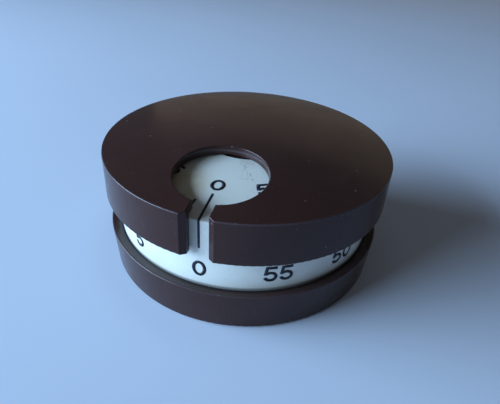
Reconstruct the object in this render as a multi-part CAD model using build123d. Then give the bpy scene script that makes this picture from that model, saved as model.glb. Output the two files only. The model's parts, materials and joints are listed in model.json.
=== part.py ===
from build123d import *
import os
from math import acos, atan2, cos, degrees, hypot, pi, radians, sin, sqrt, tan

# Wind-up 60 minute kitchen timer. Millimetres, +Z up, origin on the table under the middle,
# -Y towards the slot and the zero mark, +X to the right of the slot.

# Setting cap
CAP_RADIUS = 35.0
CAP_BOTTOM = 18.8
CAP_RIM = 28.9
CAP_DRAFT = 0.05
CAP_CROWN = 180.0
CAP_TOP_WALL = 2.0
CAP_SKIRT_WALL = 2.4
CAP_EDGE = 0.22
CAP_FOOT_EDGE = 0.2
WINDOW_RADIUS = 10.15
WINDOW_OFFSET = 20.65
SLOT_WIDTH = 4.7
SLOT_FLARE = 1.55
SLOT_FLARE_DEPTH = 1.1
HUB_WALL = 1.6
BOSS_WALL = 1.8

# Dial
SHOULDER_DROP = 2.7
DIAL_CROWN = 140.0
DIAL_WALL = 1.6
DIAL_OPENING = 11.0
DIAL_EDGE = 0.25
BOSS_RADIUS = 2.4

# Base shell
BASE_INSET = 0.3
BASE_DRAFT = 0.7
BASE_HEIGHT = 10.0
BASE_RIM_FALL = 0.5
BASE_FLOOR = 2.0
BASE_LEDGE = 5.0
BASE_LEDGE_WIDTH = 1.3
BASE_EDGE = 0.4
BASE_RIM_EDGE = 0.3
FOOT_STAND = 0.2
FOOT_RADIUS = 3.2
FOOT_RECESS = 0.8
FOOT_RING = 21.5
SOUND_HOLE = 1.5
SOUND_RINGS = ((7.0, 6), (13.0, 12))

# Case screws and their posts
POST_RADIUS = 2.2
POST_TO_WALL = 0.4
CASE_SCREW = 1.0
CASE_HEAD = 1.9
CASE_HEAD_HEIGHT = 1.1
CASE_BITE = 6.0
DRIVER_SLOT = 0.5

# Movement plates
PLATE_TO_POST = 0.4
PLATE = 1.0
LOWER_PLATE = 10.0
PLATE_GAP = 10.0
PILLAR_INSET = 2.6
PILLAR_RADIUS = 1.9
PILLAR_SCREW = 0.9
PILLAR_ANGLES = (0, 120, 240)
PIVOT = 0.5
ARBOR = 0.8
END_SHAKE = 0.15

# Main arbor
MAIN_ARBOR = 1.5
MAIN_PIVOT = 1.1
BUSH_WALL = 1.1
WASHER_OVERLAP = 1.0
ARBOR_GRIP = 2.45

# Train: wheel teeth, pinion teeth, module
GREAT = (60, 12, 0.40)
SECOND = (48, 12, 0.35)
THIRD = (48, 12, 0.30)
STRIKE_PINION = 12
PRESSURE_ANGLE = 25.0
ADDENDUM = 0.8
DEDENDUM = 1.1
BACKLASH = 0.12
WHEEL = 0.7
SECOND_ANGLE = 150.0
THIRD_RING = 15.0
ESCAPE_RING = 15.5
GREAT_LEVEL = 18.6
SECOND_LEVEL = 16.2
THIRD_LEVEL = 13.6
PINION_OVERHANG = 0.5

# Escapement
ESCAPE_TEETH = 18
ESCAPE_RADIUS = 5.2
ESCAPE_TOOTH = 1.3
ESCAPE_LEAN = 0.6
ESCAPE_LEVEL = 16.0
PALLET_DISTANCE = 7.6
PALLET_RING = 14.5
PALLET_SPREAD = 34.0
PALLET_GAP = 0.45
PALLET_WIDTH = 0.9
BAR_LENGTH = 10.0
BAR_WIDTH = 1.4
BAR_LEVEL = 12.0
BAR_WEIGHT = 1.2

# Mainspring
SPRING_STRIP = 0.25
SPRING_PITCH = 0.55
SPRING_TURNS = 8
SPRING_LOW = 11.8
SPRING_HEIGHT = 3.9
SPRING_STEPS = 20
ANCHOR_ANGLE = 110.0

# Winding ratchet on the great wheel
RATCHET_TEETH = 16
RATCHET_RADIUS = 4.4
RATCHET_TOOTH = 0.9
RATCHET_LEAN = 0.9
CLICK_RING = 8.6
CLICK_ANGLE = 300.0
CLICK_STUD = 0.7
CLICK_TURN = 30.0
CLICK_SPRING_FOOT = 50.0
CLICK_SPRING_TIP = 22.0
CLICK_SPRING_INSET = 0.6

# Release cam, stop and lift lever
CAM_RADIUS = 6.0
CAM_NOTCH = 1.6
CAM_NOTCH_HALF = 14.0
CAM_THICK = 1.0
LUG_THICK = 0.7
THRUST_WASHER = 0.3
STOP_RING = 8.0
STOP_POST = 0.7
STOP_LUG = 0.9
SETTING_RANGE = 342.0
STOP_ANGLE = 90.0
NOSE_ANGLE = -60.0
LEVER_REACH = 11.0
LEVER_WIDTH = 1.8
LEVER_THICK = 0.8
NOSE_LENGTH = 1.5
NOSE_WIDTH = 1.2
LEVER_SPRING_RING = 18.5
LEVER_SPRING_TURN = 12.0
FINGER_RING = 20.5
FINGER_ANGLE = 32.0
FINGER_RADIUS = 0.7
FINGER_WINDOW = 2.3

# Bell and hammer
BELL_RADIUS = 18.5
BELL_LOW = 3.4
BELL_TOP = 9.3
BELL_WALL = 0.9
BELL_ROUND = 3.2
BELL_STUD = 1.5
BELL_NUT_ACROSS = 5.5
BELL_NUT = 1.6
BELL_FLANGE = 5.5
RIVET_RING = 4.1
RIVET = 0.6
STRIKE_ANGLE = 40.0
STAR_TEETH = 12
STAR_RADIUS = 4.4
STAR_TOOTH = 1.2
STAR_LEAN = 0.5
STAR_LEVEL = 14.0
HAMMER_RING = 22.3
HAMMER_OFFSET = 14.0
HEAD_ANGLE = 25.0
HEAD_RADIUS = 1.6
HEAD_GAP = 0.6
HAMMER_LOW = 4.6
ARM_LEVEL = 7.4
WIRE = 0.35
HAMMER_SPRING_TURN = 20.0
HAMMER_SPRING_DROP = 2.1

# Clearances
CAP_TO_DIAL = 0.5
HUB_TO_DIAL = 1.2
DIAL_TO_BASE = 0.2
RUNNING = 0.05
FREE = 0.3
LOOSE = 0.15
HUB_TO_LUG = 0.9

# How far a cut runs past the face it opens, and how near an edge lies to the face it belongs to
PAST = 1.0
NEAR = 0.02

# Derived places
floor_top = FOOT_STAND + BASE_FLOOR
dial_radius = CAP_RADIUS - CAP_SKIRT_WALL - CAP_TO_DIAL
dial_shoulder = CAP_RIM - SHOULDER_DROP
base_radius = CAP_RADIUS - BASE_INSET
base_bore = dial_radius + DIAL_TO_BASE
post_ring = dial_radius - DIAL_WALL - POST_TO_WALL - POST_RADIUS
plate_radius = post_ring - POST_RADIUS - PLATE_TO_POST
pillar_ring = plate_radius - PILLAR_INSET
plate_top = LOWER_PLATE + PLATE
upper_plate_low = plate_top + PLATE_GAP
upper_plate_top = upper_plate_low + PLATE
cam_low = upper_plate_top + THRUST_WASHER + RUNNING
hub_radius = DIAL_OPENING - HUB_TO_DIAL
cam_high = cam_low + CAM_THICK
lug_high = cam_high + LUG_THICK
hub_low = lug_high + HUB_TO_LUG
arbor_top = hub_low + ARBOR_GRIP
post_angles = (60, 180, 300)
foot_angles = (90, 210, 330)


def polar(radius, angle):
    return radius * cos(radians(angle)), radius * sin(radians(angle))


def crown(radius, crown_radius, edge_radius, edge_height):
    """Height of a shallow sphere that passes through a circle of edge_radius at edge_height."""
    centre = edge_height - sqrt(crown_radius ** 2 - edge_radius ** 2)
    return centre + sqrt(crown_radius ** 2 - radius ** 2)


def cap_top(radius):
    return crown(radius, CAP_CROWN, CAP_RADIUS, CAP_RIM)


def dial_top(radius):
    return crown(radius, DIAL_CROWN, dial_radius, dial_shoulder)


def disc(radius, low, high, place=(0, 0)):
    return Pos(place[0], place[1], low) * extrude(Circle(radius), high - low)


def ring(outer, inner, low, high, place=(0, 0)):
    return disc(outer, low, high, place) - disc(inner, low - PAST, high + PAST, place)


def turned(lines):
    return revolve(Plane.XZ * make_face(lines), Axis.Z)


def plate_of(points, low, high):
    return Pos(0, 0, low) * extrude(make_face(Polyline(*points, close=True)), high - low)


def link(start, end, width, low, high):
    """Flat bar with round ends from start to end."""
    length = hypot(end[0] - start[0], end[1] - start[1])
    angle = degrees(atan2(end[1] - start[1], end[0] - start[0]))
    middle = Pos((start[0] + end[0]) / 2, (start[1] + end[1]) / 2, low)
    return middle * Rot(0, 0, angle) * extrude(SlotCenterToCenter(length, width), high - low)


def around(solid, angles):
    return Compound(children=[Rot(0, 0, angle) * solid for angle in angles])


def cut_all(solid, tools):
    for tool in tools:
        solid = solid - tool
    return solid


def slotted_screw(head, head_height, shank, head_low, tip, place):
    """Screw standing up from its head, with a straight driver slot across the head."""
    body = disc(head, head_low, head_low + head_height, place)
    body += disc(shank, head_low + head_height, tip, place)
    across = 2 * (head + PAST)
    cutter = Box(across, DRIVER_SLOT, DRIVER_SLOT, align=(Align.CENTER, Align.CENTER, Align.MIN))
    return body - Pos(place[0], place[1], head_low) * cutter


# Toothed wheels

def involute(angle):
    return tan(angle) - angle


def gear(teeth, module, low, high, place, phase, bore):
    """Involute wheel: a flank leaves the tooth's centre line by the half tooth angle at the pitch
    circle plus the involute of the pressure angle minus the involute of the local angle."""
    pitch = teeth * module / 2
    base = pitch * cos(radians(PRESSURE_ANGLE))
    tip = pitch + ADDENDUM * module
    root = pitch - DEDENDUM * module
    start = max(root, base)
    half = (pi / 2 - BACKLASH) / teeth

    def flank(radius):
        local = acos(min(1.0, base / max(radius, base)))
        return half + involute(radians(PRESSURE_ANGLE)) - involute(local)

    radii = [root, start, pitch, tip] if start > root else [root, pitch, tip]
    points = []
    for tooth in range(teeth):
        middle = phase + tooth * 360 / teeth
        points += [polar(radius, middle - degrees(flank(radius))) for radius in radii]
        points += [polar(radius, middle + degrees(flank(radius))) for radius in reversed(radii)]
    wheel = Pos(place[0], place[1], 0) * plate_of(points, low, high)
    return wheel - disc(bore, low - PAST, high + PAST, place)


def pointed_wheel(teeth, tip, depth, lean, low, high, place, bore):
    """Saw-toothed wheel: each tooth rises from the root circle to a tip moved round by lean teeth."""
    points = []
    for tooth in range(teeth):
        points.append(polar(tip - depth, tooth * 360 / teeth))
        points.append(polar(tip, (tooth + lean) * 360 / teeth))
    wheel = Pos(place[0], place[1], 0) * plate_of(points, low, high)
    return wheel - disc(bore, low - PAST, high + PAST, place)


def mesh_distance(pair):
    return (pair[0] + pair[1]) * pair[2] / 2


def swing(ring_a, ring_b, distance):
    """Angle at the middle between two arbors on rings ring_a and ring_b that are distance apart."""
    return degrees(acos((ring_a ** 2 + ring_b ** 2 - distance ** 2) / (2 * ring_a * ring_b)))


def bearing(start, end):
    return degrees(atan2(end[1] - start[1], end[0] - start[0]))


great_ring = mesh_distance(GREAT)
second_place = polar(great_ring, SECOND_ANGLE)
third_angle = SECOND_ANGLE + swing(great_ring, THIRD_RING, mesh_distance(SECOND))
third_place = polar(THIRD_RING, third_angle)
escape_angle = third_angle + swing(THIRD_RING, ESCAPE_RING, mesh_distance(THIRD))
escape_place = polar(ESCAPE_RING, escape_angle)
pallet_angle = escape_angle + swing(ESCAPE_RING, PALLET_RING, PALLET_DISTANCE)
pallet_place = polar(PALLET_RING, pallet_angle)
strike_place = polar(great_ring, STRIKE_ANGLE)
hammer_angle = STRIKE_ANGLE + HAMMER_OFFSET
hammer_place = polar(HAMMER_RING, hammer_angle)
head_place = polar(BELL_RADIUS + HEAD_GAP + HEAD_RADIUS, hammer_angle + HEAD_ANGLE)
nose_place = polar(CAM_RADIUS + LOOSE + NOSE_WIDTH / 2, NOSE_ANGLE)
arm_end = polar(CAM_RADIUS + LOOSE + NOSE_LENGTH + LEVER_WIDTH / 2, NOSE_ANGLE)
lever_place = (arm_end[0] + polar(LEVER_REACH, NOSE_ANGLE + 90)[0],
               arm_end[1] + polar(LEVER_REACH, NOSE_ANGLE + 90)[1])
finger_place = polar(FINGER_RING, FINGER_ANGLE)
click_place = polar(CLICK_RING, CLICK_ANGLE)
spring_outer = MAIN_ARBOR + FREE + SPRING_STRIP + SPRING_PITCH * SPRING_TURNS
anchor_place = polar(spring_outer + STOP_POST, ANCHOR_ANGLE)
stop_place = polar(STOP_RING, STOP_ANGLE)


# Case

def setting_cap():
    top = cap_top(0)
    inner = CAP_RADIUS - CAP_SKIRT_WALL
    middle = CAP_RADIUS / 2
    outline = [
        Line((CAP_RADIUS + CAP_DRAFT, CAP_BOTTOM), (CAP_RADIUS, CAP_RIM)),
        ThreePointArc((CAP_RADIUS, CAP_RIM), (middle, cap_top(middle)), (0, top)),
        Line((0, top), (0, top - CAP_TOP_WALL)),
        ThreePointArc((0, top - CAP_TOP_WALL), (middle, cap_top(middle) - CAP_TOP_WALL),
                      (inner, cap_top(inner) - CAP_TOP_WALL)),
        Line((inner, cap_top(inner) - CAP_TOP_WALL), (inner, CAP_BOTTOM)),
        Line((inner, CAP_BOTTOM), (CAP_RADIUS + CAP_DRAFT, CAP_BOTTOM)),
    ]
    cap = turned(outline)
    cap = fillet(cap.edges().filter_by(on_cap_foot), CAP_FOOT_EDGE)
    hub_top = top - CAP_TOP_WALL / 2
    cap = cap - disc(WINDOW_RADIUS, CAP_BOTTOM, top + PAST, (0, -WINDOW_OFFSET))
    cap = cap - slot_cutter(top + PAST)
    cap = fillet(cap.edges().filter_by(on_cap_top), CAP_EDGE)
    cap += ring(hub_radius, hub_radius - HUB_WALL, hub_low, hub_top)
    cap += ring(MAIN_ARBOR + BOSS_WALL, MAIN_ARBOR, hub_low, hub_top)
    return cap - disc(MAIN_ARBOR, hub_low - PAST, arbor_top)


def slot_cutter(high):
    """Slot from the window out through the skirt, widening at the outer face."""
    half = SLOT_WIDTH / 2
    face = CAP_RADIUS + CAP_DRAFT
    flare = half + SLOT_FLARE + SLOT_FLARE * PAST / SLOT_FLARE_DEPTH
    points = [
        (-half, -WINDOW_OFFSET),
        (-half, -face + SLOT_FLARE_DEPTH),
        (-flare, -face - PAST),
        (flare, -face - PAST),
        (half, -face + SLOT_FLARE_DEPTH),
        (half, -WINDOW_OFFSET),
    ]
    return plate_of(points, CAP_BOTTOM - PAST, high)


def on_cap_top(edge):
    point = edge.position_at(0.5)
    return abs(point.Z - cap_top(hypot(point.X, point.Y))) < NEAR


def on_cap_foot(edge):
    point = edge.position_at(0.5)
    return abs(point.Z - CAP_BOTTOM) < NEAR


def dial():
    inner = dial_radius - DIAL_WALL
    high = dial_top(DIAL_OPENING)
    middle = (DIAL_OPENING + dial_radius) / 2
    outline = [
        Line((inner, BASE_LEDGE), (dial_radius, BASE_LEDGE)),
        Line((dial_radius, BASE_LEDGE), (dial_radius, dial_shoulder)),
        ThreePointArc((dial_radius, dial_shoulder), (middle, dial_top(middle)), (DIAL_OPENING, high)),
        Line((DIAL_OPENING, high), (DIAL_OPENING, high - DIAL_WALL)),
        ThreePointArc((DIAL_OPENING, high - DIAL_WALL), (middle, dial_top(middle) - DIAL_WALL),
                      (inner, dial_top(inner) - DIAL_WALL)),
        Line((inner, dial_top(inner) - DIAL_WALL), (inner, BASE_LEDGE)),
    ]
    shell = turned(outline)
    shell = fillet(shell.edges().filter_by(on_dial_shoulder), DIAL_EDGE)
    boss_top = dial_top(pillar_ring) - DIAL_WALL / 2
    post_top = dial_top(post_ring) - DIAL_WALL / 2
    for angle in PILLAR_ANGLES:
        place = polar(pillar_ring, angle)
        shell += disc(BOSS_RADIUS, upper_plate_top, boss_top, place)
        shell = shell - disc(PILLAR_SCREW, upper_plate_top - PAST, dial_shoulder - DIAL_WALL, place)
    for angle in post_angles:
        place = polar(post_ring, angle)
        shell += disc(POST_RADIUS, floor_top, post_top, place)
        shell = shell - disc(CASE_SCREW, floor_top - PAST, floor_top + CASE_BITE, place)
    return shell


def on_dial_shoulder(edge):
    point = edge.position_at(0.5)
    return abs(point.Z - dial_shoulder) < NEAR and hypot(point.X, point.Y) > dial_radius - NEAR


def base_shell():
    rim_inner = BASE_HEIGHT - BASE_RIM_FALL
    below_ledge = base_bore - BASE_LEDGE_WIDTH
    outline = Polyline(
        (0, FOOT_STAND),
        (base_radius - BASE_DRAFT, FOOT_STAND),
        (base_radius, BASE_HEIGHT),
        (base_bore, rim_inner),
        (base_bore, BASE_LEDGE),
        (below_ledge, BASE_LEDGE),
        (below_ledge, floor_top),
        (0, floor_top),
        close=True,
    )
    shell = turned(outline)
    lower_edge = shell.edges().filter_by(GeomType.CIRCLE).group_by(Axis.Z)[0]
    shell = fillet(lower_edge, BASE_EDGE)
    upper_edge = shell.edges().filter_by(GeomType.CIRCLE).group_by(Axis.Z)[-1]
    shell = fillet(upper_edge, BASE_RIM_EDGE)
    return cut_all(shell, base_holes())


def base_holes():
    head_depth = FOOT_STAND + CASE_HEAD_HEIGHT + LOOSE
    holes = [disc(SOUND_HOLE, 0, floor_top + PAST)]
    for radius, count in SOUND_RINGS:
        holes += [disc(SOUND_HOLE, 0, floor_top + PAST, polar(radius, step * 360 / count))
                  for step in range(count)]
    for angle in foot_angles:
        holes.append(disc(FOOT_RADIUS, 0, FOOT_STAND + FOOT_RECESS, polar(FOOT_RING, angle)))
    for angle in post_angles:
        place = polar(post_ring, angle)
        holes.append(disc(CASE_SCREW + LOOSE, 0, floor_top + PAST, place))
        holes.append(disc(CASE_HEAD + LOOSE, 0, head_depth, place))
    return holes


def rubber_feet():
    foot = disc(FOOT_RADIUS, 0, FOOT_STAND + FOOT_RECESS, (FOOT_RING, 0))
    return around(foot, foot_angles)


def case_screws():
    head_low = FOOT_STAND + LOOSE
    tip = floor_top + CASE_BITE - FREE
    screw = slotted_screw(CASE_HEAD, CASE_HEAD_HEIGHT, CASE_SCREW, head_low, tip, (post_ring, 0))
    return around(screw, post_angles)


# Movement frame

def pivot_holes():
    places = [second_place, third_place, escape_place, pallet_place, strike_place]
    return [disc(PIVOT + RUNNING, LOWER_PLATE - PAST, upper_plate_top + PAST, place) for place in places]


def screw_holes():
    return [disc(PILLAR_SCREW + LOOSE, LOWER_PLATE - PAST, upper_plate_top + PAST, polar(pillar_ring, angle))
            for angle in PILLAR_ANGLES]


def lower_plate():
    plate = disc(plate_radius, LOWER_PLATE, plate_top)
    tools = pivot_holes() + screw_holes()
    tools.append(disc(MAIN_PIVOT + RUNNING, LOWER_PLATE - PAST, plate_top + PAST))
    tools.append(disc(ARBOR + RUNNING, LOWER_PLATE - PAST, plate_top + PAST, hammer_place))
    tools += [disc(RIVET, LOWER_PLATE - PAST, plate_top + PAST, polar(RIVET_RING, angle))
              for angle in foot_angles]
    tools.append(disc(STOP_POST, LOWER_PLATE - PAST, plate_top + PAST, anchor_place))
    return cut_all(plate, tools)


def upper_plate():
    plate = disc(plate_radius, upper_plate_low, upper_plate_top)
    tools = pivot_holes() + screw_holes()
    tools.append(disc(MAIN_ARBOR + RUNNING + BUSH_WALL, upper_plate_low - PAST, upper_plate_top + PAST))
    tools.append(disc(PIVOT + RUNNING, upper_plate_low - PAST, upper_plate_top + PAST, hammer_place))
    tools.append(disc(STOP_POST, upper_plate_low - PAST, upper_plate_top + PAST, stop_place))
    tools.append(disc(FINGER_WINDOW, upper_plate_low - PAST, upper_plate_top + PAST, finger_place))
    tools.append(disc(CLICK_STUD, upper_plate_low - PAST, upper_plate_top + PAST, lever_place))
    return cut_all(plate, tools)


def arbor_bush():
    outer = MAIN_ARBOR + RUNNING + BUSH_WALL
    return ring(outer, MAIN_ARBOR + RUNNING, upper_plate_low, upper_plate_top)


def thrust_washer():
    outer = MAIN_ARBOR + RUNNING + BUSH_WALL + WASHER_OVERLAP
    return ring(outer, MAIN_ARBOR + RUNNING, upper_plate_top, upper_plate_top + THRUST_WASHER)


def pillar_sleeves():
    inner = PILLAR_SCREW + LOOSE
    sleeve = ring(PILLAR_RADIUS, inner, plate_top, upper_plate_low, (pillar_ring, 0))
    return around(sleeve, PILLAR_ANGLES)


def movement_screws():
    head = PILLAR_RADIUS
    tip = dial_shoulder - DIAL_WALL - FREE
    low = LOWER_PLATE - PLATE
    screw = slotted_screw(head, PLATE, PILLAR_SCREW, low, tip, (pillar_ring, 0))
    return around(screw, PILLAR_ANGLES)


def stop_post():
    return disc(STOP_POST, upper_plate_low, lug_high + FREE, stop_place)


# Arbors

def arbor(place):
    """Steel arbor between the plates with a thinner pivot at each end."""
    body = disc(ARBOR, plate_top + END_SHAKE, upper_plate_low - END_SHAKE, place)
    return body + disc(PIVOT, LOWER_PLATE, upper_plate_top, place)


def pinion(pair, level, place, phase):
    low = level - PINION_OVERHANG
    high = level + WHEEL + PINION_OVERHANG
    return gear(pair[1], pair[2], low, high, place, phase, ARBOR)


def gap_phase(direction, teeth):
    """Phase that turns a gap between two teeth towards the wheel that drives the pinion."""
    return direction + 180 + 180 / teeth


def main_arbor():
    body = disc(MAIN_ARBOR, plate_top + END_SHAKE, arbor_top)
    return body + disc(MAIN_PIVOT, LOWER_PLATE, plate_top + END_SHAKE)


def great_wheel():
    high = GREAT_LEVEL + WHEEL
    wheel = gear(GREAT[0], GREAT[2], GREAT_LEVEL, high, (0, 0), SECOND_ANGLE, MAIN_ARBOR)
    return wheel - disc(CLICK_STUD, GREAT_LEVEL - PAST, high + PAST, click_place)


def strike_pinion():
    teeth = STRIKE_PINION
    great_tooth = 360 / GREAT[0]
    offset = (STRIKE_ANGLE - SECOND_ANGLE) % great_tooth
    phase = gap_phase(STRIKE_ANGLE, teeth) + offset * GREAT[0] / teeth
    return pinion(GREAT, GREAT_LEVEL, strike_place, phase)


def second_pinion():
    return pinion(GREAT, GREAT_LEVEL, second_place, gap_phase(SECOND_ANGLE, GREAT[1]))


def second_wheel():
    phase = bearing(second_place, third_place)
    return gear(SECOND[0], SECOND[2], SECOND_LEVEL, SECOND_LEVEL + WHEEL, second_place, phase, ARBOR)


def third_pinion():
    phase = gap_phase(bearing(second_place, third_place), SECOND[1])
    return pinion(SECOND, SECOND_LEVEL, third_place, phase)


def third_wheel():
    phase = bearing(third_place, escape_place)
    return gear(THIRD[0], THIRD[2], THIRD_LEVEL, THIRD_LEVEL + WHEEL, third_place, phase, ARBOR)


def escape_pinion():
    phase = gap_phase(bearing(third_place, escape_place), THIRD[1])
    return pinion(THIRD, THIRD_LEVEL, escape_place, phase)


def escape_wheel():
    high = ESCAPE_LEVEL + WHEEL
    return pointed_wheel(ESCAPE_TEETH, ESCAPE_RADIUS, ESCAPE_TOOTH, ESCAPE_LEAN, ESCAPE_LEVEL, high,
                         escape_place, ARBOR)


def star_wheel():
    high = STAR_LEVEL + WHEEL
    return pointed_wheel(STAR_TEETH, STAR_RADIUS, STAR_TOOTH, STAR_LEAN, STAR_LEVEL, high,
                         strike_place, ARBOR)


# Escapement

def pallet_anchor():
    """Anchor over the escape wheel: two arms that end in pallets just outside the tips."""
    high = ESCAPE_LEVEL + WHEEL
    towards = bearing(escape_place, pallet_place)
    reach = ESCAPE_RADIUS + PALLET_GAP + PALLET_WIDTH / 2
    anchor = disc(ARBOR + PALLET_WIDTH, ESCAPE_LEVEL, high, pallet_place)
    for side in (-1, 1):
        offset = polar(reach, towards + side * PALLET_SPREAD)
        tip = (escape_place[0] + offset[0], escape_place[1] + offset[1])
        anchor += link(pallet_place, tip, PALLET_WIDTH, ESCAPE_LEVEL, high)
    return anchor - disc(ARBOR, ESCAPE_LEVEL - PAST, high + PAST, pallet_place)


def inertia_bar():
    """Bar across the pallet arbor with a weight at each end, which sets the beat."""
    high = BAR_LEVEL + WHEEL
    half = polar(BAR_LENGTH / 2, pallet_angle + 90)
    ends = [(pallet_place[0] + side * half[0], pallet_place[1] + side * half[1]) for side in (-1, 1)]
    bar = link(ends[0], ends[1], BAR_WIDTH, BAR_LEVEL, high)
    bar += disc(2 * ARBOR, BAR_LEVEL, high, pallet_place)
    for end in ends:
        bar += disc(BAR_WEIGHT, BAR_LEVEL, high + WHEEL / 2, end)
    return bar - disc(ARBOR, BAR_LEVEL - PAST, high + PAST, pallet_place)


# Mainspring and winding ratchet

def mainspring():
    """Flat strip wound as a spiral whose radius grows by one pitch a turn."""
    steps = SPRING_TURNS * SPRING_STEPS
    start = MAIN_ARBOR + FREE
    inside = [polar(start + SPRING_PITCH * step / SPRING_STEPS, step * 360 / SPRING_STEPS)
              for step in range(steps + 1)]
    outside = [polar(start + SPRING_STRIP + SPRING_PITCH * step / SPRING_STEPS,
                     step * 360 / SPRING_STEPS) for step in reversed(range(steps + 1))]
    return plate_of(inside + outside, SPRING_LOW, SPRING_LOW + SPRING_HEIGHT)


def spring_anchor():
    return disc(STOP_POST, LOWER_PLATE, SPRING_LOW + SPRING_HEIGHT, anchor_place)


def ratchet_low():
    return GREAT_LEVEL + WHEEL


def ratchet_wheel():
    low = ratchet_low()
    return pointed_wheel(RATCHET_TEETH, RATCHET_RADIUS, RATCHET_TOOTH, RATCHET_LEAN, low, low + WHEEL,
                         (0, 0), MAIN_ARBOR)


def click():
    """Pawl from its stud to a tip just outside the ratchet teeth."""
    low = ratchet_low()
    tip = polar(RATCHET_RADIUS + LOOSE + PALLET_WIDTH / 2, CLICK_ANGLE + CLICK_TURN)
    pawl = link(click_place, tip, PALLET_WIDTH, low, low + WHEEL)
    pawl += disc(CLICK_STUD + PALLET_WIDTH / 2, low, low + WHEEL, click_place)
    return pawl - disc(CLICK_STUD, low - PAST, low + WHEEL + PAST, click_place)


def click_stud():
    return disc(CLICK_STUD, GREAT_LEVEL, ratchet_low() + WHEEL + LOOSE, click_place)


def click_spring():
    """Thin strip on the great wheel that presses on the back of the pawl."""
    low = ratchet_low()
    start = polar(CLICK_RING + 2 * STOP_POST, CLICK_ANGLE + CLICK_SPRING_FOOT)
    end = polar(CLICK_RING - CLICK_SPRING_INSET, CLICK_ANGLE + CLICK_SPRING_TIP)
    strip = link(start, end, WIRE, low, low + WHEEL)
    return strip + disc(STOP_POST, low, low + WHEEL, start)


# Release cam and lift lever

def release_cam():
    """Disc with one notch for the lever's nose, and above it a lug that meets the stop post."""
    cam = disc(CAM_RADIUS, cam_low, cam_high)
    notch = [polar(CAM_RADIUS - CAM_NOTCH, NOSE_ANGLE - CAM_NOTCH_HALF),
             polar(CAM_RADIUS + PAST, NOSE_ANGLE - CAM_NOTCH_HALF),
             polar(CAM_RADIUS + PAST, NOSE_ANGLE + CAM_NOTCH_HALF),
             polar(CAM_RADIUS - CAM_NOTCH, NOSE_ANGLE + CAM_NOTCH_HALF)]
    cam = cam - plate_of(notch, cam_low - PAST, cam_high + PAST)
    lug_angle = STOP_ANGLE - (360 - SETTING_RANGE) / 2
    lug_end = polar(STOP_RING + STOP_POST / 2, lug_angle)
    cam += disc(MAIN_ARBOR + BOSS_WALL, cam_high, lug_high)
    cam += link((0, 0), lug_end, STOP_LUG, cam_high, lug_high)
    return cam - disc(MAIN_ARBOR, cam_low - PAST, lug_high + PAST)


def lift_lever():
    """Lever with a nose at the cam and a finger that reaches down to the hammer."""
    high = cam_low + LEVER_THICK
    radius = LEVER_WIDTH / 2
    lever = link(lever_place, arm_end, LEVER_WIDTH, cam_low, high)
    lever += link(arm_end, nose_place, NOSE_WIDTH, cam_low, high)
    lever += link(lever_place, finger_place, LEVER_WIDTH, cam_low, high)
    lever += disc(CLICK_STUD + radius, cam_low, high, lever_place)
    lever += disc(FINGER_RADIUS, STAR_LEVEL, high, finger_place)
    return lever - disc(CLICK_STUD + RUNNING, cam_low - PAST, high + PAST, lever_place)


def lever_stud():
    high = cam_low + LEVER_THICK + RUNNING
    stud = disc(CLICK_STUD, upper_plate_low, high + WHEEL, lever_place)
    stud += ring(2 * CLICK_STUD, CLICK_STUD, upper_plate_top, cam_low - RUNNING, lever_place)
    return stud + disc(2 * CLICK_STUD, high, high + WHEEL, lever_place)


def lever_spring():
    """Wire spring on the upper plate beside the lever's nose arm."""
    start = polar(LEVER_SPRING_RING, NOSE_ANGLE - LEVER_SPRING_TURN)
    end = polar(hypot(*arm_end) + LEVER_WIDTH / 2 + FREE + WIRE, NOSE_ANGLE)
    wire = link(start, end, WIRE, cam_low, cam_low + WIRE)
    return wire + disc(STOP_POST, upper_plate_top, cam_high, start)


# Bell and hammer

def bell():
    """Turned steel cup, mouth down, with a rounded shoulder and a hole in the crown."""
    inner = BELL_RADIUS - BELL_WALL
    round_in = BELL_ROUND - BELL_WALL
    crown_low = BELL_TOP - BELL_WALL
    hole = BELL_STUD + RUNNING
    shoulder = BELL_TOP - BELL_ROUND
    arc = sqrt(0.5)
    outline = [
        Line((hole, crown_low), (hole, BELL_TOP)),
        Line((hole, BELL_TOP), (BELL_RADIUS - BELL_ROUND, BELL_TOP)),
        ThreePointArc((BELL_RADIUS - BELL_ROUND, BELL_TOP),
                      (BELL_RADIUS - BELL_ROUND * (1 - arc), shoulder + BELL_ROUND * arc),
                      (BELL_RADIUS, shoulder)),
        Line((BELL_RADIUS, shoulder), (BELL_RADIUS, BELL_LOW)),
        Line((BELL_RADIUS, BELL_LOW), (inner, BELL_LOW)),
        Line((inner, BELL_LOW), (inner, shoulder)),
        ThreePointArc((inner, shoulder),
                      (inner - round_in * (1 - arc), shoulder + round_in * arc),
                      (inner - round_in, crown_low)),
        Line((inner - round_in, crown_low), (hole, crown_low)),
    ]
    return turned(outline)


def bell_post():
    """Flanged post riveted under the lower plate; the bell hangs on its threaded end."""
    flange = LOWER_PLATE - BELL_TOP
    post = disc(BELL_FLANGE, LOWER_PLATE - flange, LOWER_PLATE)
    post += disc(BELL_STUD, BELL_TOP - BELL_WALL - BELL_NUT - FREE, LOWER_PLATE - flange)
    return cut_all(post, [disc(RIVET, 0, LOWER_PLATE + PAST, polar(RIVET_RING, angle))
                          for angle in foot_angles])


def bell_nut():
    high = BELL_TOP - BELL_WALL
    nut = Pos(0, 0, high - BELL_NUT) * extrude(RegularPolygon(BELL_NUT_ACROSS / 2, 6, major_radius=False),
                                               BELL_NUT)
    return nut - disc(BELL_STUD, 0, high + PAST)


def bell_post_rivets():
    rivet = disc(RIVET, BELL_TOP, plate_top, (RIVET_RING, 0))
    return around(rivet, foot_angles)


def hammer_arbor():
    body = disc(ARBOR, HAMMER_LOW, upper_plate_low - END_SHAKE, hammer_place)
    return body + disc(PIVOT, HAMMER_LOW, upper_plate_top, hammer_place)


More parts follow.
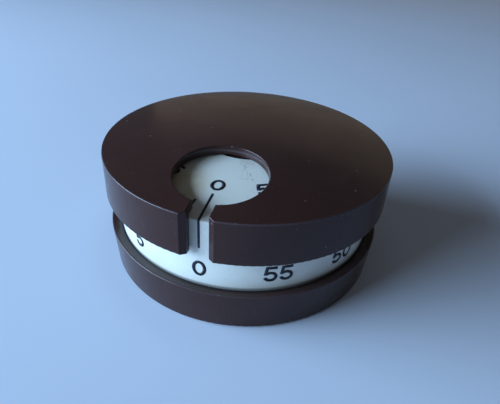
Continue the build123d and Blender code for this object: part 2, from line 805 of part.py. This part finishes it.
def hammer_arm():
    high = ARM_LEVEL + WHEEL
    arm = link(hammer_place, head_place, 2 * ARBOR, ARM_LEVEL, high)
    arm += disc(2 * ARBOR, ARM_LEVEL, high, hammer_place)
    arm = arm - disc(ARBOR, ARM_LEVEL - PAST, high + PAST, hammer_place)
    return arm - disc(PIVOT, ARM_LEVEL - PAST, high + PAST, head_place)


def hammer_head():
    head = disc(HEAD_RADIUS, HAMMER_LOW, ARM_LEVEL, head_place)
    return head + disc(PIVOT, ARM_LEVEL, ARM_LEVEL + WHEEL, head_place)


def hammer_verge():
    """Short finger on the hammer arbor that the star wheel flicks."""
    high = STAR_LEVEL + WHEEL
    direction = bearing(hammer_place, strike_place)
    distance = hypot(hammer_place[0] - strike_place[0], hammer_place[1] - strike_place[1])
    offset = polar(distance - STAR_RADIUS - FREE - ARBOR / 2, direction)
    tip = (hammer_place[0] + offset[0], hammer_place[1] + offset[1])
    verge = link(hammer_place, tip, ARBOR, STAR_LEVEL, high)
    verge += disc(2 * ARBOR, STAR_LEVEL, high, hammer_place)
    return verge - disc(ARBOR, STAR_LEVEL - PAST, high + PAST, hammer_place)


def hammer_spring():
    """Wire fixed under the lower plate that holds the hammer just off the bell."""
    start = polar(pillar_ring, hammer_angle + HEAD_ANGLE + HAMMER_SPRING_TURN)
    direction = polar(HEAD_RADIUS + FREE + WIRE, hammer_angle + HEAD_ANGLE)
    end = (head_place[0] + direction[0], head_place[1] + direction[1])
    low = LOWER_PLATE - HAMMER_SPRING_DROP
    wire = link(start, end, WIRE, low, low + WIRE)
    return wire + disc(STOP_POST, low, LOWER_PLATE, start)


NODES = {
    "setting_cap": setting_cap,
    "dial": dial,
    "base_shell": base_shell,
    "rubber_feet": rubber_feet,
    "case_screws": case_screws,
    "lower_plate": lower_plate,
    "upper_plate": upper_plate,
    "arbor_bush": arbor_bush,
    "thrust_washer": thrust_washer,
    "pillar_sleeves": pillar_sleeves,
    "movement_screws": movement_screws,
    "stop_post": stop_post,
    "main_arbor": main_arbor,
    "great_wheel": great_wheel,
    "ratchet_wheel": ratchet_wheel,
    "click": click,
    "click_stud": click_stud,
    "click_spring": click_spring,
    "mainspring": mainspring,
    "spring_anchor": spring_anchor,
    "release_cam": release_cam,
    "lift_lever": lift_lever,
    "lever_stud": lever_stud,
    "lever_spring": lever_spring,
    "second_arbor": lambda: arbor(second_place),
    "second_pinion": second_pinion,
    "second_wheel": second_wheel,
    "third_arbor": lambda: arbor(third_place),
    "third_pinion": third_pinion,
    "third_wheel": third_wheel,
    "escape_arbor": lambda: arbor(escape_place),
    "escape_pinion": escape_pinion,
    "escape_wheel": escape_wheel,
    "pallet_arbor": lambda: arbor(pallet_place),
    "pallet_anchor": pallet_anchor,
    "inertia_bar": inertia_bar,
    "strike_arbor": lambda: arbor(strike_place),
    "strike_pinion": strike_pinion,
    "star_wheel": star_wheel,
    "bell": bell,
    "bell_post": bell_post,
    "bell_nut": bell_nut,
    "bell_post_rivets": bell_post_rivets,
    "hammer_arbor": hammer_arbor,
    "hammer_arm": hammer_arm,
    "hammer_head": hammer_head,
    "hammer_verge": hammer_verge,
    "hammer_spring": hammer_spring,
}

os.makedirs("parts", exist_ok=True)
for name, make in NODES.items():
    export_step(make(), f"parts/{name}.step")

places = {
    "second": second_place, "third": third_place, "escape": escape_place, "pallet": pallet_place,
    "strike": strike_place, "hammer": hammer_place,
}
for name, place in places.items():
    print(f"{name} pivot {place[0]:.6f} {place[1]:.6f}")
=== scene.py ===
import json

import bpy
import numpy as np
from mathutils import Matrix, Vector


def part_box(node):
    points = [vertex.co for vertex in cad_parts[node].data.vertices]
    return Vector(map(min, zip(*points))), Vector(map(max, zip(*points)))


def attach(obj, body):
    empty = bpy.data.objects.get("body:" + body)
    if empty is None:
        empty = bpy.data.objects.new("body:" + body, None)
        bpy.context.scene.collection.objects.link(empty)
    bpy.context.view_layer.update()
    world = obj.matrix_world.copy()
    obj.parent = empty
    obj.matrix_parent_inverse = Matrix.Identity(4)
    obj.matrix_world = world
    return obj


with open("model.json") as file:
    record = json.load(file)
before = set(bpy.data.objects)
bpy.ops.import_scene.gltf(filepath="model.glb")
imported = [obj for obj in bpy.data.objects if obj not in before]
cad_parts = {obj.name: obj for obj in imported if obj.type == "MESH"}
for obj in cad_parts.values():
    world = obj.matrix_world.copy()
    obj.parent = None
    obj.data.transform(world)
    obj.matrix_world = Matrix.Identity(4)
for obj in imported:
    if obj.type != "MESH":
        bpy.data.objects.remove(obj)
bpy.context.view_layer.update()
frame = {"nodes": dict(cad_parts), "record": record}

MM = 0.001

# ---------------------------------------------------------------- sizes
# Outer sizes come from the frame's boxes.

cap_low, cap_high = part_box("setting_cap")
_, dial_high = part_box("dial")
base_low, base_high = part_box("base_shell")
CAP_RADIUS = cap_high.x
CAP_FOOT = cap_low.z
DIAL_RADIUS = dial_high.x
BASE_RADIUS = base_high.x
BASE_TOP = base_high.z
BASE_FOOT = base_low.z

# The boxes don't give these, so they repeat the CAD model's own values.
CAP_RIM = 28.9 * MM
WINDOW_RADIUS = 10.15 * MM
WINDOW_OFFSET = 20.65 * MM
DIAL_BREAK = 26.2 * MM
DIAL_CROWN = 140.0 * MM
DIAL_OPENING = 11.0 * MM
BREAK_ROUND = 0.12 * MM
BASE_BORE = DIAL_RADIUS + 0.2 * MM

# ---------------------------------------------------------------- camera

CAMERA_PLACE = (25.70 * MM, -95.93 * MM, 76.61 * MM)
CAMERA_AIM = (1.25 * MM, 0.35 * MM, 10.7 * MM)
CAMERA_ROLL = 3.8
# The lens and the sensor's width are in millimetres.
LENS = 31.68
SENSOR_WIDTH = 36.0


def look_from(place, aim, roll, lens):
    """Camera at place that looks at aim, turned by roll degrees about its own axis."""
    camera = bpy.data.objects.new("camera", bpy.data.cameras.new("camera"))
    bpy.context.scene.collection.objects.link(camera)
    forward = (Vector(aim) - Vector(place)).normalized()
    turn = forward.to_track_quat("-Z", "Y").to_matrix().to_4x4()
    camera.matrix_world = Matrix.Translation(place) @ turn @ Matrix.Rotation(np.radians(roll), 4, "Z")
    camera.data.lens = lens
    camera.data.sensor_width = SENSOR_WIDTH
    camera.data.clip_start = 1 * MM
    bpy.context.scene.camera = camera


look_from(CAMERA_PLACE, CAMERA_AIM, CAMERA_ROLL, LENS)

# ---------------------------------------------------------------- meshes from numpy


def add_mesh(name, points, faces, body):
    """Puts arrays of points and faces into a mesh that rides on a body."""
    mesh = bpy.data.meshes.new(name)
    mesh.from_pydata(points.tolist(), [], faces.tolist())
    mesh.update()
    piece = bpy.data.objects.new(name, mesh)
    bpy.context.scene.collection.objects.link(piece)
    mesh.polygons.foreach_set("use_smooth", np.ones(len(mesh.polygons), bool))
    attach(piece, body)
    return piece


def strip_faces(rows, columns, start=0):
    """Faces of a grid of rows by columns points, numbered from start."""
    index = np.arange(rows * columns).reshape(rows, columns) + start
    return np.stack([index[:-1, :-1], index[1:, :-1], index[1:, 1:], index[:-1, 1:]], -1).reshape(-1, 4)


def dial_height(radius):
    """Shallow sphere through the dial's break edge: its centre height plus the root of the
    crown radius squared minus the radius squared."""
    centre = DIAL_BREAK - np.sqrt(DIAL_CROWN ** 2 - DIAL_RADIUS ** 2)
    return centre + np.sqrt(DIAL_CROWN ** 2 - radius ** 2)


# ---------------------------------------------------------------- figures on the dial

STROKE = 0.175
LETTER_GAP = 0.10
PRINT_TURN = -0.9
DEGREES_A_MINUTE = 6
LIFT = 0.03 * MM
INK_THICKNESS = LIFT * 0.8


def oval(centre, radii, start, end, steps=28):
    """Elliptical arc: the centre plus each radius times the cosine and sine of the angle."""
    angle = np.radians(np.linspace(start, end, steps))
    return np.stack([centre[0] + radii[0] * np.cos(angle), centre[1] + radii[1] * np.sin(angle)], -1)


def straight(start, end, steps=6):
    """Points spaced evenly from start to end."""
    along = np.linspace(0, 1, steps)[:, None]
    return np.array(start) * (1 - along) + np.array(end) * along


HALF = STROKE / 2
# Each figure has its width and the middle lines of its strokes, on a field one unit high.
FIGURES = {
    "0": (0.77, [oval((0.385, 0.5), (0.385 - HALF, 0.5 - HALF), 0, 360, 56)]),
    "1": (0.44, [straight((0.36, 0), (0.36, 1)), oval((0.05, 1.0), (0.29, 0.25), 275, 350, 10)]),
    "2": (0.72, [oval((0.36, 0.70), (0.36 - HALF, 0.30 - HALF), 175, -35),
                 straight((0.585, 0.57), (0.08, HALF)),
                 straight((0.02, HALF), (0.72, HALF))]),
    "3": (0.72, [oval((0.36, 0.735), (0.32 - HALF, 0.265 - HALF), 170, -90),
                 oval((0.36, 0.29), (0.36 - HALF, 0.29 - HALF), 90, -170)]),
    "4": (0.76, [straight((0.50, 0.96), (0.06, 0.31)), straight((0.02, 0.29), (0.76, 0.29)),
                 straight((0.55, 0), (0.55, 1))]),
    "5": (0.74, [straight((0.70, 1 - HALF), (0.13, 1 - HALF)), straight((0.185, 0.98), (0.10, 0.43)),
                 oval((0.365, 0.335), (0.375 - HALF, 0.335 - HALF), 146, -166)]),
}


def ribbon(path, width):
    """Flat strip: each point of the path moved half the width to either side along its normal."""
    along = np.gradient(path, axis=0)
    closed = np.allclose(path[0], path[-1])
    if closed:
        along[0] = along[-1] = path[1] - path[-2]
    along /= np.linalg.norm(along, axis=1)[:, None]
    across = np.stack([-along[:, 1], along[:, 0]], -1) * width / 2
    return np.stack([path + across, path - across], 1)


def outlines(text, width_scale, height):
    """Strips of a whole number, centred on the origin, as arrays of flat points in metres."""
    widths = [FIGURES[letter][0] for letter in text]
    total = sum(widths) + LETTER_GAP * (len(text) - 1)
    left = -total / 2
    strips = []
    for letter, width in zip(text, widths):
        for path in FIGURES[letter][1]:
            strips.append((ribbon(path, STROKE) + (left, -0.5)) * (width_scale, height))
        left += width + LETTER_GAP
    return strips


def mark_angle(minutes):
    """Angle of a minute mark: it starts at -Y and turns clockwise as seen from above."""
    return np.radians(PRINT_TURN - 90 - minutes * DEGREES_A_MINUTE)


def direction(minutes):
    """Unit vectors outwards and to the reader's right at a minute mark, from mark_angle."""
    angle = mark_angle(minutes)
    return np.array([np.cos(angle), np.sin(angle)]), np.array([-np.sin(angle), np.cos(angle)])


def onto_side(flat, minutes, height):
    """Wraps flat points round the dial's wall: x becomes arc length and y becomes height."""
    angle = mark_angle(minutes) + flat[..., 0] / DIAL_RADIUS
    radius = DIAL_RADIUS + LIFT
    return np.stack([radius * np.cos(angle), radius * np.sin(angle), height + flat[..., 1]], -1)


def onto_top(flat, minutes, ring):
    """Lays flat points on the dial's dome: y runs towards the middle from the ring's radius."""
    out, right = direction(minutes)
    plan = (ring - flat[..., 1:2]) * out + flat[..., 0:1] * right
    height = dial_height(np.linalg.norm(plan, axis=-1)) + LIFT
    return np.concatenate([plan, height[..., None]], -1)


def print_on_dial(name, strips):
    """One thin printed layer made of many strips, each a grid of two columns of points."""
    points, faces, start = [], [], 0
    for strip in strips:
        rows, columns = strip.shape[:2]
        points.append(strip.reshape(-1, 3))
        faces.append(strip_faces(rows, columns, start))
        start += rows * columns
    piece = add_mesh(name, np.concatenate(points), np.concatenate(faces), "case")
    layer = piece.modifiers.new("layer", "SOLIDIFY")
    layer.thickness = INK_THICKNESS
    layer.offset = -1
    return piece


SIDE_HEIGHT = 4.1 * MM
SIDE_MIDDLE = 14.0 * MM
TOP_HEIGHT = 3.4 * MM
TOP_RING = 21.65 * MM
LINE_WIDTH = 0.52 * MM
LINE_START = 24.4 * MM
LINE_END = 19.4 * MM
SHORT_START = 27.0 * MM
SHORT_END = 22.0 * MM
MINUTES = 60
MARK_STEP = 5
marks = range(0, MINUTES, MARK_STEP)

side_figures = print_on_dial("side_figures", [
    onto_side(strip, minutes, SIDE_MIDDLE) for minutes in marks
    for strip in outlines(str(minutes), SIDE_HEIGHT, SIDE_HEIGHT)])
top_figures = print_on_dial("top_figures", [
    onto_top(strip, minutes, TOP_RING) for minutes in marks
    for strip in outlines(str(minutes), SIDE_HEIGHT, TOP_HEIGHT)])


def minute_line(minutes, start, end):
    """Line from the dome at radius start over the break edge and down the wall to height end:
    the path's radius and height, moved half a line's width to either side."""
    over = np.linspace(start, DIAL_RADIUS - BREAK_ROUND, 12)
    radius = np.concatenate([over, np.full(8, DIAL_RADIUS)])
    height = np.concatenate([dial_height(over), np.linspace(DIAL_BREAK - BREAK_ROUND, end, 8)])
    out, right = direction(minutes)
    middle = (radius + LIFT)[:, None] * out
    half = right * LINE_WIDTH / 2
    plan = np.stack([middle - half, middle + half], 1)
    return np.concatenate([plan, np.stack([height + LIFT] * 2, 1)[..., None]], -1)


dial_lines = print_on_dial("dial_lines", [
    minute_line(minutes, LINE_START, LINE_END) for minutes in marks])
short_lines = print_on_dial("short_lines", [
    minute_line(minutes, SHORT_START, SHORT_END) for minutes in range(MINUTES) if minutes % MARK_STEP])

# ---------------------------------------------------------------- material tools


class Shade:
    """A material's node tree with short ways to add the nodes used here."""

    def __init__(self, name):
        self.material = bpy.data.materials.new(name)
        self.material.use_nodes = True
        self.tree = self.material.node_tree
        self.shader = self.tree.nodes["Principled BSDF"]
        self.place = self.tree.nodes.new("ShaderNodeTexCoord").outputs["Object"]

    def link(self, value, socket):
        if isinstance(value, bpy.types.NodeSocket):
            self.tree.links.new(value, socket)
        else:
            socket.default_value = value

    def set(self, name, value):
        self.link(value, self.shader.inputs[name])

    def math(self, operation, first, second=0.0, clamp=False):
        made = self.tree.nodes.new("ShaderNodeMath")
        made.operation = operation
        made.use_clamp = clamp
        self.link(first, made.inputs[0])
        self.link(second, made.inputs[1])
        return made.outputs[0]

    def noise(self, scale, detail=3.0, rough=0.5, vector=None, bend=0.0):
        made = self.tree.nodes.new("ShaderNodeTexNoise")
        self.link(vector or self.place, made.inputs["Vector"])
        made.inputs["Scale"].default_value = scale
        made.inputs["Detail"].default_value = detail
        made.inputs["Roughness"].default_value = rough
        made.inputs["Distortion"].default_value = bend
        return made.outputs["Fac"]

    def cells(self, scale):
        made = self.tree.nodes.new("ShaderNodeTexVoronoi")
        self.link(self.place, made.inputs["Vector"])
        made.inputs["Scale"].default_value = scale
        made.inputs["Randomness"].default_value = 1.0
        return made.outputs["Distance"]

    def stretched(self, scale, turn=(0, 0, 0)):
        made = self.tree.nodes.new("ShaderNodeMapping")
        self.link(self.place, made.inputs["Vector"])
        made.inputs["Rotation"].default_value = turn
        made.inputs["Scale"].default_value = scale
        return made.outputs["Vector"]

    def between(self, value, low, high, at_low=0.0, at_high=1.0):
        made = self.tree.nodes.new("ShaderNodeMapRange")
        made.interpolation_type = "SMOOTHSTEP"
        self.link(value, made.inputs["Value"])
        made.inputs["From Min"].default_value = low
        made.inputs["From Max"].default_value = high
        made.inputs["To Min"].default_value = at_low
        made.inputs["To Max"].default_value = at_high
        return made.outputs["Result"]

    def mix(self, factor, first, second):
        made = self.tree.nodes.new("ShaderNodeMix")
        made.data_type = "RGBA"
        self.link(factor, made.inputs["Factor"])
        self.link(first, made.inputs[6])
        self.link(second, made.inputs[7])
        return made.outputs[2]

    def bump(self, height, strength, distance, below=None):
        made = self.tree.nodes.new("ShaderNodeBump")
        made.inputs["Strength"].default_value = strength
        made.inputs["Distance"].default_value = distance
        self.link(height, made.inputs["Height"])
        if below is not None:
            self.link(below, made.inputs["Normal"])
        return made.outputs["Normal"]

    def axes(self):
        made = self.tree.nodes.new("ShaderNodeSeparateXYZ")
        self.link(self.place, made.inputs[0])
        return made.outputs

    def from_axis(self, offset=0.0, aside=0.0):
        """Distance from an upright axis that stands at x = aside and y = -offset."""
        x, y, _ = self.axes()
        across = self.math("SUBTRACT", x, aside)
        along = self.math("ADD", y, offset)
        squares = self.math("ADD", self.math("MULTIPLY", across, across), self.math("MULTIPLY", along, along))
        return self.math("SQRT", squares)

    def near_ring(self, radius, height, width, offset=0.0):
        """One on a circle of that radius and height, falling to nothing at width from it."""
        sideways = self.math("SUBTRACT", self.from_axis(offset), radius)
        upwards = self.math("SUBTRACT", self.axes()[2], height)
        squares = self.math("ADD", self.math("MULTIPLY", sideways, sideways),
                            self.math("MULTIPLY", upwards, upwards))
        return self.between(self.math("SQRT", squares), 0.0, width, 1.0, 0.0)

    def largest(self, *values):
        result = values[0]
        for value in values[1:]:
            result = self.math("MAXIMUM", result, value)
        return result


def paint(material, *nodes):
    """Puts a material on CAD nodes or pieces."""
    for item in nodes:
        piece = frame["nodes"][item] if isinstance(item, str) else item
        piece.data.materials.clear()
        piece.data.materials.append(material)


# ---------------------------------------------------------------- dark brown moulded plastic


# Depth and width of a band of painted shade round the base's inner top edge, where the dial goes in.
SEAM_SHADE_DEPTH = 0.5 * MM
SEAM_SHADE_WIDTH = 1.6 * MM
EDGE_WIDTH = 0.40 * MM
WINDOW_RISE = 2.0 * MM
FOOT_INSET = 0.7 * MM


def brown_plastic(name, edges):
    """Polished dark brown plastic with dust specks, fine scratches, lighter worn chips on the edges,
    a thin painted highlight along every moulded corner and painted shade where the base meets the
    dial. edges lists radius, height and axis offset of each moulded corner."""
    shade = Shade(name)
    cloud = shade.noise(60, 4, 0.55)
    colour = shade.mix(cloud, (0.030, 0.0125, 0.0115, 1), (0.046, 0.021, 0.0185, 1))
    corner = shade.largest(*[shade.near_ring(radius, height, EDGE_WIDTH, offset)
                             for radius, height, offset in edges])
    chips = shade.between(shade.noise(420, 3, 0.7), 0.62, 0.74)
    worn = shade.math("MULTIPLY", corner, chips)
    colour = shade.mix(shade.math("MULTIPLY", worn, 0.40), colour, (0.22, 0.17, 0.17, 1))
    # Painted highlight: a thin bluish light line along every moulded corner, chipped or not.
    colour = shade.mix(shade.math("MULTIPLY", corner, 0.22), colour, (0.20, 0.19, 0.23, 1))
    # Painted shade: darkens the plastic round the base's inner top edge, where the dial goes in.
    seam_shade = shade.near_ring(BASE_BORE, BASE_TOP - SEAM_SHADE_DEPTH, SEAM_SHADE_WIDTH)
    colour = shade.mix(shade.math("MULTIPLY", seam_shade, 0.75), colour, (0.008, 0.006, 0.006, 1))
    sparse = shade.between(shade.noise(130, 2), 0.50, 0.62)
    dust = shade.math("MULTIPLY", shade.between(shade.cells(430), 0.050, 0.100, 0.9, 0.0), sparse)
    fine = shade.between(shade.cells(1300), 0.04, 0.10, 0.34, 0.0)
    specks = shade.largest(dust, fine)
    colour = shade.mix(shade.math("MULTIPLY", specks, 0.55), colour, (0.34, 0.33, 0.34, 1))
    shade.set("Base Color", colour)
    smear = shade.noise(95, 5, 0.6, bend=0.6)
    rough = shade.between(smear, 0.3, 0.75, 0.18, 0.30)
    rough = shade.math("ADD", rough, shade.math("MULTIPLY", shade.largest(worn, specks), 0.25), True)
    shade.set("Roughness", shade.math("SUBTRACT", rough, shade.math("MULTIPLY", corner, 0.08)))
    scratch = shade.noise(1, 2, 0.5, shade.stretched((2600, 90, 200), (0, 0, 0.6)))
    scratch = shade.between(scratch, 0.66, 0.72)
    surface = shade.bump(shade.noise(240, 2), 0.12, 0.03 * MM)
    surface = shade.bump(scratch, 0.08, 0.02 * MM, surface)
    shade.set("Normal", shade.bump(shade.largest(worn, specks), 0.15, 0.02 * MM, surface))
    shade.set("Specular IOR Level", 0.27)
    return shade.material


cap_plastic = brown_plastic("cap_plastic", [
    (CAP_RADIUS, CAP_RIM, 0.0), (CAP_RADIUS, CAP_FOOT, 0.0),
    (WINDOW_RADIUS, CAP_RIM + WINDOW_RISE, WINDOW_OFFSET)])
base_plastic = brown_plastic("base_plastic", [
    (BASE_RADIUS, BASE_TOP, 0.0), (BASE_RADIUS - FOOT_INSET, BASE_FOOT, 0.0)])
paint(cap_plastic, "setting_cap")
paint(base_plastic, "base_shell")

# ---------------------------------------------------------------- off-white dial and its ink


OPENING_DIRT = 5 * MM
# Place of a patch that is partly a yellow stain and partly the cap's shadow with a warm reflection, painted
# in.
YELLOWED_AND_SHADED = (23.5 * MM, -9.5 * MM)
CRACKED = (14.5 * MM, 6.0 * MM)
# Heights below and above the base's top over which painted shade darkens the dial.
GAP_SHADE_BELOW = 0.3 * MM
GAP_SHADE_ABOVE = 0.5 * MM


def white_plastic():
    """Off-white satin plastic, dirty near its opening and darkened by painted shade where it goes
    into the base. YELLOWED_AND_SHADED and CRACKED give the axis offset and aside of a patch at the
    left of the reading window, partly yellowed and partly painted with the cap's shadow and a warm
    reflection, and of a finely cracked one at its far right."""
    shade = Shade("dial_plastic")
    cloud = shade.noise(70, 4, 0.6)
    colour = shade.mix(cloud, (0.69, 0.705, 0.665, 1), (0.75, 0.765, 0.72, 1))
    near_opening = shade.between(shade.from_axis(), DIAL_OPENING, DIAL_OPENING + OPENING_DIRT, 1.0, 0.0)
    stain = shade.between(shade.noise(210, 4, 0.65), 0.50, 0.68)
    dirt = shade.math("MULTIPLY", near_opening, stain)
    colour = shade.mix(shade.math("MULTIPLY", dirt, 0.55), colour, (0.36, 0.34, 0.29, 1))
    # Part yellow stain, part painted shadow of the cap and painted warm reflection, left of the reading
    # window.
    beside = shade.between(shade.from_axis(*YELLOWED_AND_SHADED), 3.5 * MM, 9.0 * MM, 1.0, 0.0)
    yellow_and_shade = shade.math("MULTIPLY", beside, shade.between(shade.noise(230, 3), 0.30, 0.58, 0.35, 1.0))
    colour = shade.mix(shade.math("MULTIPLY", yellow_and_shade, 0.65), colour, (0.56, 0.45, 0.22, 1))
    ridge = shade.math("ABSOLUTE", shade.math("SUBTRACT", shade.noise(260, 1, 0.5, bend=0.8), 0.5))
    behind = shade.between(shade.from_axis(*CRACKED), 2.5 * MM, 5.5 * MM, 1.0, 0.12)
    crack = shade.math("MULTIPLY", shade.between(ridge, 0.003, 0.022, 1.0, 0.0), behind)
    colour = shade.mix(shade.math("MULTIPLY", crack, 0.45), colour, (0.22, 0.27, 0.32, 1))
    # Painted shade: the dial darkens towards where it goes into the base.
    gap_shade = shade.between(shade.axes()[2], BASE_TOP - GAP_SHADE_BELOW, BASE_TOP + GAP_SHADE_ABOVE, 1.0, 0.0)
    colour = shade.mix(shade.math("MULTIPLY", gap_shade, 0.75), colour, (0.06, 0.06, 0.065, 1))
    specks = shade.between(shade.cells(420), 0.04, 0.08, 0.4, 0.0)
    colour = shade.mix(specks, colour, (0.42, 0.40, 0.37, 1))
    shade.set("Base Color", colour)
    shade.set("Roughness", shade.between(shade.noise(120, 4), 0.3, 0.7, 0.30, 0.42))
    surface = shade.bump(shade.noise(500, 3), 0.10, 0.02 * MM)
    shade.set("Normal", shade.bump(shade.largest(dirt, crack), 0.2, 0.02 * MM, surface))
    shade.set("Subsurface Weight", 0.12)
    shade.shader.inputs["Subsurface Radius"].default_value = (1.2 * MM, 1.0 * MM, 0.8 * MM)
    shade.shader.inputs["Subsurface Scale"].default_value = 1.0
    return shade.material


def ink():
    """Dark navy printing ink, thinner in small patches."""
    shade = Shade("dial_ink")
    patch = shade.between(shade.noise(1500, 3, 0.6), 0.45, 0.75)
    shade.set("Base Color", shade.mix(patch, (0.006, 0.008, 0.016, 1), (0.030, 0.036, 0.055, 1)))
    shade.set("Roughness", shade.between(shade.noise(700, 2), 0.3, 0.7, 0.34, 0.50))
    shade.set("Normal", shade.bump(shade.noise(2200, 2), 0.15, 0.01 * MM))
    return shade.material


paint(white_plastic(), "dial")
paint(ink(), side_figures, top_figures, dial_lines, short_lines)

# ---------------------------------------------------------------- metals, rubber, inner plastic


def metal(name, dark, light, rough, grain, turn=(0, 0, 0)):
    """Bare metal with drawn or turned grain, stains and small pits."""
    shade = Shade(name)
    brushed = shade.noise(1, 3, 0.6, shade.stretched(grain, turn))
    stain = shade.noise(260, 4, 0.6)
    colour = shade.mix(shade.math("MULTIPLY", brushed, stain), (*dark, 1), (*light, 1))
    pits = shade.between(shade.cells(900), 0.06, 0.12, 1.0, 0.0)
    shade.set("Base Color", shade.mix(shade.math("MULTIPLY", pits, 0.4), colour, (*dark, 1)))
    shade.set("Metallic", 1.0)
    shade.set("Roughness", shade.between(stain, 0.3, 0.7, rough, rough + 0.14))
    shade.set("Normal", shade.bump(brushed, 0.18, 0.02 * MM))
    return shade.material


def rubber():
    """Matt black rubber, greyed by dust, with a fine moulded grain."""
    shade = Shade("foot_rubber")
    dusty = shade.between(shade.noise(300, 4, 0.6), 0.45, 0.70)
    shade.set("Base Color", shade.mix(dusty, (0.018, 0.018, 0.018, 1), (0.075, 0.072, 0.068, 1)))
    shade.set("Roughness", shade.between(dusty, 0.0, 1.0, 0.72, 0.88))
    shade.set("Normal", shade.bump(shade.noise(1800, 2), 0.3, 0.03 * MM))
    return shade.material


def black_plastic():
    """Plain black moulded plastic with flow marks."""
    shade = Shade("black_plastic")
    flow = shade.noise(1, 3, 0.6, shade.stretched((200, 700, 300)))
    shade.set("Base Color", shade.mix(flow, (0.020, 0.020, 0.021, 1), (0.045, 0.044, 0.043, 1)))
    shade.set("Roughness", shade.between(flow, 0.3, 0.7, 0.38, 0.52))
    shade.set("Normal", shade.bump(flow, 0.12, 0.02 * MM))
    return shade.material


plate_steel = metal("plate_steel", (0.42, 0.42, 0.43), (0.66, 0.66, 0.67), 0.30, (40, 2600, 40))
screw_steel = metal("screw_steel", (0.40, 0.40, 0.42), (0.70, 0.70, 0.72), 0.24, (900, 900, 2600))
arbor_steel = metal("arbor_steel", (0.45, 0.45, 0.46), (0.72, 0.72, 0.73), 0.18, (60, 60, 5200))
spring_steel = metal("spring_steel", (0.11, 0.13, 0.18), (0.24, 0.27, 0.34), 0.26, (300, 300, 3000))
bell_steel = metal("bell_steel", (0.50, 0.50, 0.51), (0.74, 0.74, 0.76), 0.12, (80, 80, 4200))
train_brass = metal("train_brass", (0.48, 0.33, 0.12), (0.78, 0.58, 0.26), 0.22, (1800, 60, 60), (0, 0, 0.4))
slot_material = {
    "foot_rubber": rubber(), "black_plastic": black_plastic(), "plate_steel": plate_steel,
    "screw_steel": screw_steel, "arbor_steel": arbor_steel, "spring_steel": spring_steel,
    "bell_steel": bell_steel, "train_brass": train_brass,
}
for row in frame["record"]["subparts"]:
    if row["material_slot"] in slot_material:
        paint(slot_material[row["material_slot"]], row["node"])

# ---------------------------------------------------------------- floor and light


FLOOR_HALF = 2.5
LAMP_AIM = (0, 0, 0.02)
GLOW_AIM = (0, 0, 0.03)
ROOM_COLOUR = (0.80, 0.86, 0.95, 1)
ROOM_STRENGTH = 0.075


def floor():
    """Pale plain table top, a square whose half side is FLOOR_HALF."""
    corners = np.array([(-1, -1, 0), (1, -1, 0), (1, 1, 0), (-1, 1, 0)]) * FLOOR_HALF
    mesh = bpy.data.meshes.new("floor")
    mesh.from_pydata(corners.tolist(), [], [(0, 1, 2, 3)])
    top = bpy.data.objects.new("floor", mesh)
    bpy.context.scene.collection.objects.link(top)
    shade = Shade("floor_paint")
    shade.set("Base Color", shade.mix(shade.noise(14, 3), (0.58, 0.65, 0.78, 1), (0.61, 0.68, 0.81, 1)))
    shade.set("Roughness", 0.85)
    shade.set("Specular IOR Level", 0.15)
    mesh.materials.append(shade.material)


def softbox(name, place, aim, size, power, colour, spread=180):
    """Rectangular lamp at place that faces aim, its beam spread degrees wide."""
    data = bpy.data.lights.new(name, "AREA")
    data.shape = "RECTANGLE"
    data.size, data.size_y = size
    data.energy = power
    data.color = colour
    data.spread = np.radians(spread)
    lamp = bpy.data.objects.new(name, data)
    bpy.context.scene.collection.objects.link(lamp)
    turn = (Vector(aim) - Vector(place)).to_track_quat("-Z", "Y").to_matrix().to_4x4()
    lamp.matrix_world = Matrix.Translation(place) @ turn


floor()
softbox("window_light", (-0.66, -0.32, 0.25), LAMP_AIM, (0.85, 0.42), 6.0, (0.50, 0.73, 1.0), 90)
softbox("front_fill", (0.30, -0.55, 0.35), LAMP_AIM, (0.5, 0.4), 0.10, (0.92, 0.95, 1.0))
softbox("back_glow", (0.06, 0.60, 0.20), GLOW_AIM, (1.0, 0.35), 0.22, (1.0, 0.78, 0.55))
world = bpy.data.worlds.new("room")
world.use_nodes = True
world.node_tree.nodes["Background"].inputs["Color"].default_value = ROOM_COLOUR
world.node_tree.nodes["Background"].inputs["Strength"].default_value = ROOM_STRENGTH
bpy.context.scene.world = world
bpy.context.scene.view_settings.view_transform = "Standard"
